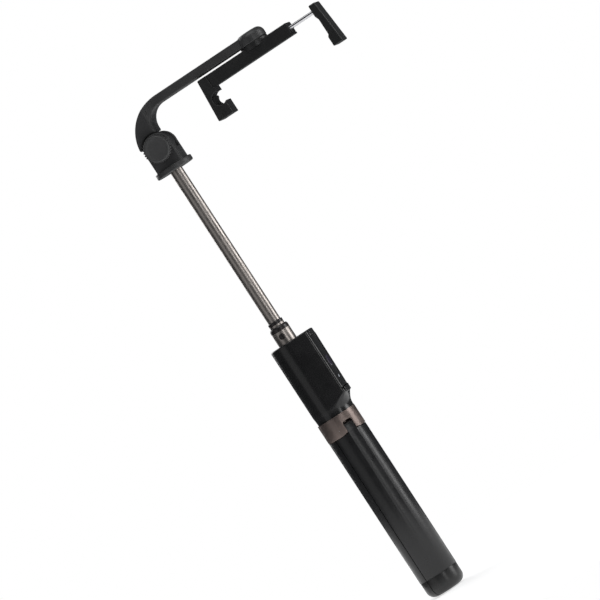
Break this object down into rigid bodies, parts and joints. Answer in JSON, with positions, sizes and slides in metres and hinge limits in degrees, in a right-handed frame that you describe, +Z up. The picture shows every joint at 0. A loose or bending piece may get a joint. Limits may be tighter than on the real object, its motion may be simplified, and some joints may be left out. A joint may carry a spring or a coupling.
{
  "type": "selfie stick",
  "caption": "Folding tripod selfie stick with a telescopic pole, tilting arm, swivelling spring phone holder and a docked remote.",
  "frame": {"origin": "on the stick's axis, in the plane of the undersides of the three folded feet", "axes": "+Z up the pole; +X from the pole towards the phone holder and the remote's face; the clamp knob is on the -Y side"},
  "size_m": [0.1397, 0.0273, 0.3377],
  "materials": {
    "hub_metal": "satin champagne lacquer on a metal casting",
    "steel": "plain bright steel",
    "inner_tube": "dark anodised",
    "black_plastic": "fine grained black",
    "bush_plastic": "moulded black acetal",
    "leg_plastic": "soft satin black",
    "foot_rubber": "moulded black rubber",
    "pole_metal": "warm grey drawn tube, satin polished",
    "guide_plastic": "natural acetal",
    "head_plastic": "grained charcoal black",
    "black_screws": "blackened steel",
    "pad_rubber": "soft black silicone",
    "spring_steel": "drawn spring wire",
    "chromed_rod": "polished plating",
    "remote_plastic": "black, semi gloss",
    "circuit_board": "green solder mask",
    "light_window": "frosted clear",
    "button_plastic": "smoked violet black"
  },
  "bodies": {
    "handle": {"hub": "hub_metal", "leg_pins": "steel", "barrel_tube": "inner_tube", "barrel_plug": "black_plastic", "barrel_bush": "bush_plastic", "housing_shell": "black_plastic", "housing_cap": "black_plastic", "bay_screws": "steel"},
    "leg_1": {"leg_1": "leg_plastic", "foot_1": "foot_rubber"},
    "leg_2": {"leg_2": "leg_plastic", "foot_2": "foot_rubber"},
    "leg_3": {"leg_3": "leg_plastic", "foot_3": "foot_rubber"},
    "stage_1": {"stage1_tube": "pole_metal", "stage1_bush": "bush_plastic", "stage1_guide": "guide_plastic"},
    "stage_2": {"stage2_tube": "pole_metal", "stage2_bush": "bush_plastic", "stage2_guide": "guide_plastic"},
    "head": {"stage3_tube": "pole_metal", "stage3_guide": "guide_plastic", "head_bracket": "head_plastic", "friction_washers": "steel", "tilt_nut": "steel"},
    "knob": {"tilt_knob": "head_plastic", "tilt_screw": "steel"},
    "arm": {"arm": "head_plastic", "swivel_screw": "steel", "swivel_washer": "steel"},
    "holder": {"holder_body": "black_plastic", "holder_cover": "black_plastic", "cover_screws": "black_screws", "fixed_pad": "pad_rubber", "jaw_springs": "spring_steel"},
    "jaw": {"moving_jaw": "black_plastic", "moving_pad": "pad_rubber", "jaw_rods": "chromed_rod", "rod_stop": "steel"},
    "remote": {"remote_back": "remote_plastic", "remote_front": "remote_plastic", "remote_board": "circuit_board", "remote_cell": "steel", "remote_lens": "light_window", "shutter_dome": "steel"},
    "shutter": {"shutter_button": "button_plastic"}
  },
  "joints": [
    {"name": "leg_1_fold", "type": "hinge", "parent": "handle", "child": "leg_1", "pos_m": [0.00485, -0.0084, 0.113], "axis": [-0.866, -0.5, 0], "range_deg": [0, 58]},
    {"name": "leg_2_fold", "type": "hinge", "parent": "handle", "child": "leg_2", "pos_m": [0.00485, 0.0084, 0.113], "axis": [0.866, -0.5, 0], "range_deg": [0, 58]},
    {"name": "leg_3_fold", "type": "hinge", "parent": "handle", "child": "leg_3", "pos_m": [-0.0097, 0, 0.113], "axis": [0, 1, 0], "range_deg": [0, 58]},
    {"name": "stage_1_slide", "type": "slide", "parent": "handle", "child": "stage_1", "axis": [0, 0, 1], "range_m": [-0.0082, 0.098]},
    {"name": "stage_2_slide", "type": "slide", "parent": "stage_1", "child": "stage_2", "axis": [0, 0, 1], "range_m": [-0.0015, 0.1015]},
    {"name": "stage_3_slide", "type": "slide", "parent": "stage_2", "child": "head", "axis": [0, 0, 1], "range_m": [-0.106, 0]},
    {"name": "knob_turn", "type": "hinge", "parent": "head", "child": "knob", "pos_m": [0, 0, 0.3094], "axis": [0, -1, 0], "continuous": true},
    {"name": "head_tilt", "type": "hinge", "parent": "head", "child": "arm", "pos_m": [0, 0, 0.3094], "axis": [0, 1, 0], "range_deg": [-30, 60]},
    {"name": "holder_swivel", "type": "hinge", "parent": "arm", "child": "holder", "pos_m": [0.0805, 0, 0.33], "axis": [0, 0, 1], "continuous": true},
    {"name": "jaw_slide", "type": "slide", "parent": "holder", "child": "jaw", "axis": [1, 0, 0], "range_m": [-0.016, 0.01], "stiffness_N_per_m": 200, "springref_m": -0.03, "deforming": ["jaw_springs"]},
    {"name": "remote_release", "type": "slide", "parent": "handle", "child": "remote", "axis": [1, 0, 0], "range_m": [0, 0.025]},
    {"name": "shutter_press", "type": "slide", "parent": "remote", "child": "shutter", "axis": [-1, 0, 0], "range_m": [0, 0.0004], "stiffness_N_per_m": 800, "springref_m": -0.001}
  ]
}
